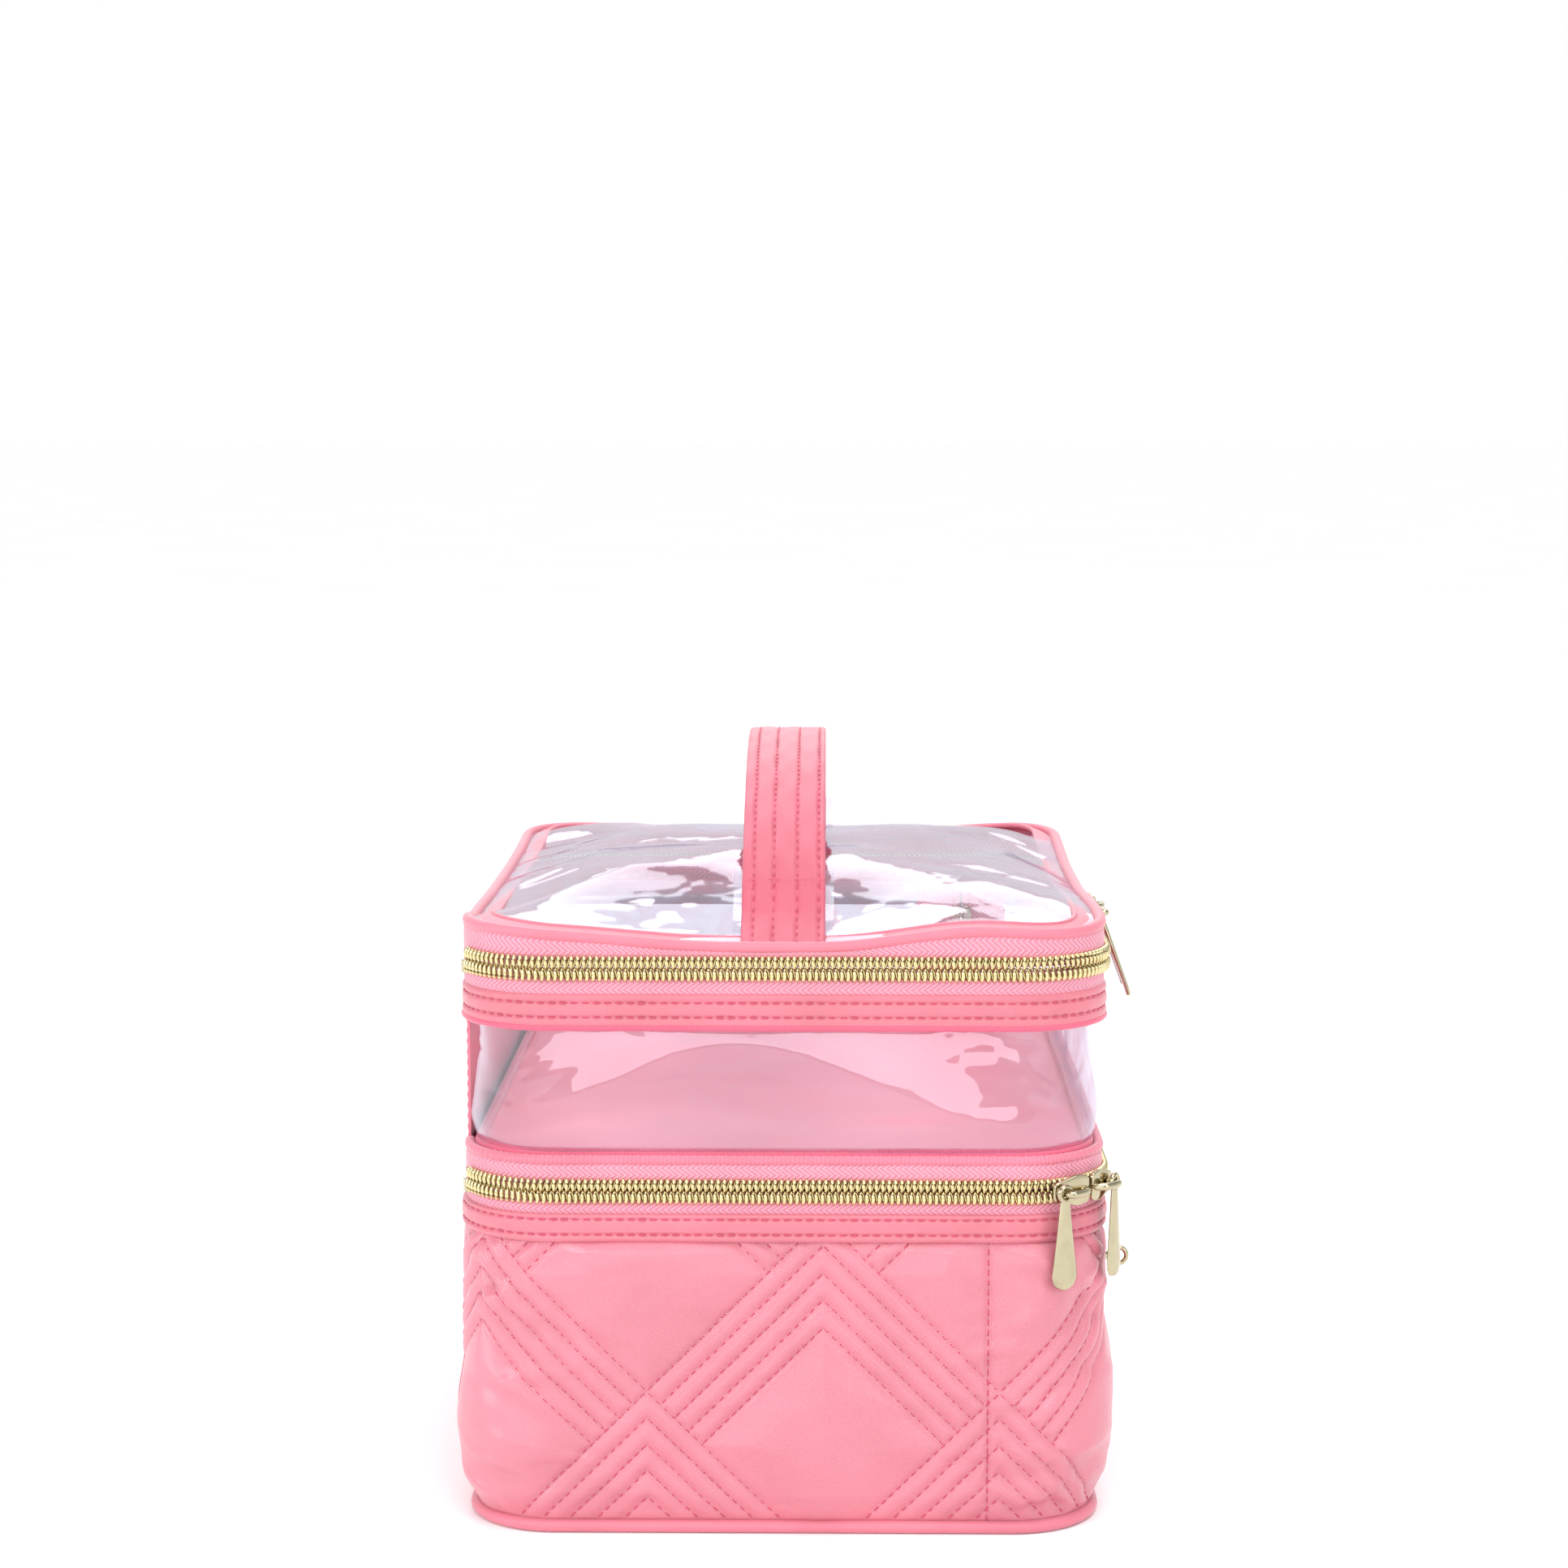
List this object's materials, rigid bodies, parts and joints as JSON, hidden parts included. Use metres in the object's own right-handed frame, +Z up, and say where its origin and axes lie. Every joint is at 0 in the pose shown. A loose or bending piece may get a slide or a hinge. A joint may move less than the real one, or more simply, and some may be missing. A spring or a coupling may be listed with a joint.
{
  "type": "makeup train case",
  "caption": "Two-deck soft train case: quilted lower compartment, clear upper deck and domed clear lid on fabric hinges, zips with swinging pulls, and a strap handle.",
  "frame": {"origin": "on the floor, at the middle of the case's flat base", "axes": "+X along the case's length, -Y out of the front, +Y at the fabric hinges, +Z up"},
  "size_m": [0.2613, 0.2106, 0.23],
  "materials": {
    "quilted_satin": "padded satin twill, quilted in chevrons",
    "pink_binding": "stitched satin band and ribbed piping",
    "zip_tape": "woven herringbone zip tape",
    "strap_webbing": "folded strap with four stitch rows",
    "pink_lining": "plain woven lining",
    "clear_vinyl": "clear soft vinyl sheet, very glossy",
    "gold_metal": "polished pale gold plating",
    "board": "white stiffener board"
  },
  "bodies": {
    "lower_case": {"base_panel": "quilted_satin", "base_board": "board", "base_piping": "pink_binding", "lower_wall": "quilted_satin", "lower_back_panel": "quilted_satin", "lower_lining": "pink_lining", "lower_band": "pink_binding", "lower_zip_tape_bottom": "zip_tape", "lower_zip_teeth_bottom": "gold_metal", "lower_zip_end_stops": "gold_metal", "charm_ring_plate": "gold_metal"},
    "upper_deck": {"divider_top": "pink_lining", "divider_board": "board", "divider_lining": "pink_lining", "divider_piping": "pink_binding", "clear_wall": "clear_vinyl", "upper_back_panel": "quilted_satin", "lower_zip_tape_top": "zip_tape", "lower_zip_teeth_top": "gold_metal", "upper_band": "pink_binding", "upper_zip_tape_bottom": "zip_tape", "upper_zip_teeth_bottom": "gold_metal", "upper_zip_end_stops": "gold_metal", "pocket_panel": "clear_vinyl", "pocket_zip_tape": "zip_tape", "pocket_zip_teeth": "gold_metal"},
    "lid": {"clear_top": "clear_vinyl", "lid_piping": "pink_binding", "lid_back_strip": "quilted_satin", "upper_zip_tape_top": "zip_tape", "upper_zip_teeth_top": "gold_metal", "handle_end_left": "strap_webbing", "handle_end_right": "strap_webbing", "handle_patches": "clear_vinyl"},
    "handle": {"handle_strap": "strap_webbing"},
    "charm": {"charm_ring": "gold_metal"},
    "pocket_slider": {"pocket_slider": "gold_metal"},
    "pocket_pull": {"pocket_pull": "gold_metal"},
    "upper_slider_left": {"upper_slider_left": "gold_metal"},
    "upper_pull_left": {"upper_pull_left": "gold_metal"},
    "upper_slider_right": {"upper_slider_right": "gold_metal"},
    "upper_pull_right": {"upper_pull_right": "gold_metal"},
    "lower_slider_side": {"lower_slider_side": "gold_metal"},
    "lower_pull_side": {"lower_pull_side": "gold_metal"},
    "lower_slider_front": {"lower_slider_front": "gold_metal"},
    "lower_pull_front": {"lower_pull_front": "gold_metal"}
  },
  "joints": [
    {"name": "deck_hinge", "type": "hinge", "parent": "lower_case", "child": "upper_deck", "pos_m": [0, 0.0965, 0.1048], "axis": [-1, 0, 0], "range_deg": [0, 95]},
    {"name": "lid_hinge", "type": "hinge", "parent": "upper_deck", "child": "lid", "pos_m": [0, 0.0965, 0.1715], "axis": [-1, 0, 0], "range_deg": [0, 100]},
    {"name": "handle_tilt", "type": "hinge", "parent": "lid", "child": "handle", "pos_m": [0, 0, 0.19905], "axis": [1, 0, 0], "range_deg": [-45, 45], "stiffness_Nm_per_rad": 0.06},
    {"name": "upper_slider_left_run", "type": "slide", "parent": "upper_deck", "child": "upper_slider_left", "axis": [-1, 0, 0], "range_m": [0, 0.0785]},
    {"name": "upper_slider_right_run", "type": "slide", "parent": "upper_deck", "child": "upper_slider_right", "axis": [1, 0, 0], "range_m": [0, 0.0905]},
    {"name": "lower_slider_side_run", "type": "hinge", "parent": "lower_case", "child": "lower_slider_side", "pos_m": [-0.099, -0.0685, 0.1048], "axis": [0, 0, -1], "range_deg": [0, 33]},
    {"name": "lower_slider_front_run", "type": "hinge", "parent": "lower_case", "child": "lower_slider_front", "pos_m": [-0.099, -0.0685, 0.1048], "axis": [0, 0, 1], "range_deg": [0, 31]},
    {"name": "upper_pull_left_swing", "type": "hinge", "parent": "upper_slider_left", "child": "upper_pull_left", "pos_m": [-0.0169, -0.1019, 0.1715], "axis": [0, 1, 0], "range_deg": [-14, 120]},
    {"name": "upper_pull_right_swing", "type": "hinge", "parent": "upper_slider_right", "child": "upper_pull_right", "pos_m": [0.0049, -0.1019, 0.1715], "axis": [0, -1, 0], "range_deg": [-14, 120]},
    {"name": "lower_pull_side_swing", "type": "hinge", "parent": "lower_slider_side", "child": "lower_pull_side", "pos_m": [-0.12919, -0.08334, 0.1048], "axis": [0.8387, 0.5446, 0], "range_deg": [-14, 120]},
    {"name": "lower_pull_front_swing", "type": "hinge", "parent": "lower_slider_front", "child": "lower_pull_front", "pos_m": [-0.11277, -0.09919, 0.1048], "axis": [-0.515, -0.8572, 0], "range_deg": [-14, 120]},
    {"name": "pocket_slider_run", "type": "slide", "parent": "upper_deck", "child": "pocket_slider", "axis": [0, 0, 1], "range_m": [-0.014, 0.011]},
    {"name": "pocket_pull_lift", "type": "hinge", "parent": "pocket_slider", "child": "pocket_pull", "pos_m": [0.1115, -0.062, 0.144], "axis": [0, 1, 0], "range_deg": [0, 110]},
    {"name": "charm_swing", "type": "hinge", "parent": "lower_case", "child": "charm", "pos_m": [-0.06, -0.1046, 0.0687], "axis": [1, 0, 0], "range_deg": [-60, 60]}
  ]
}
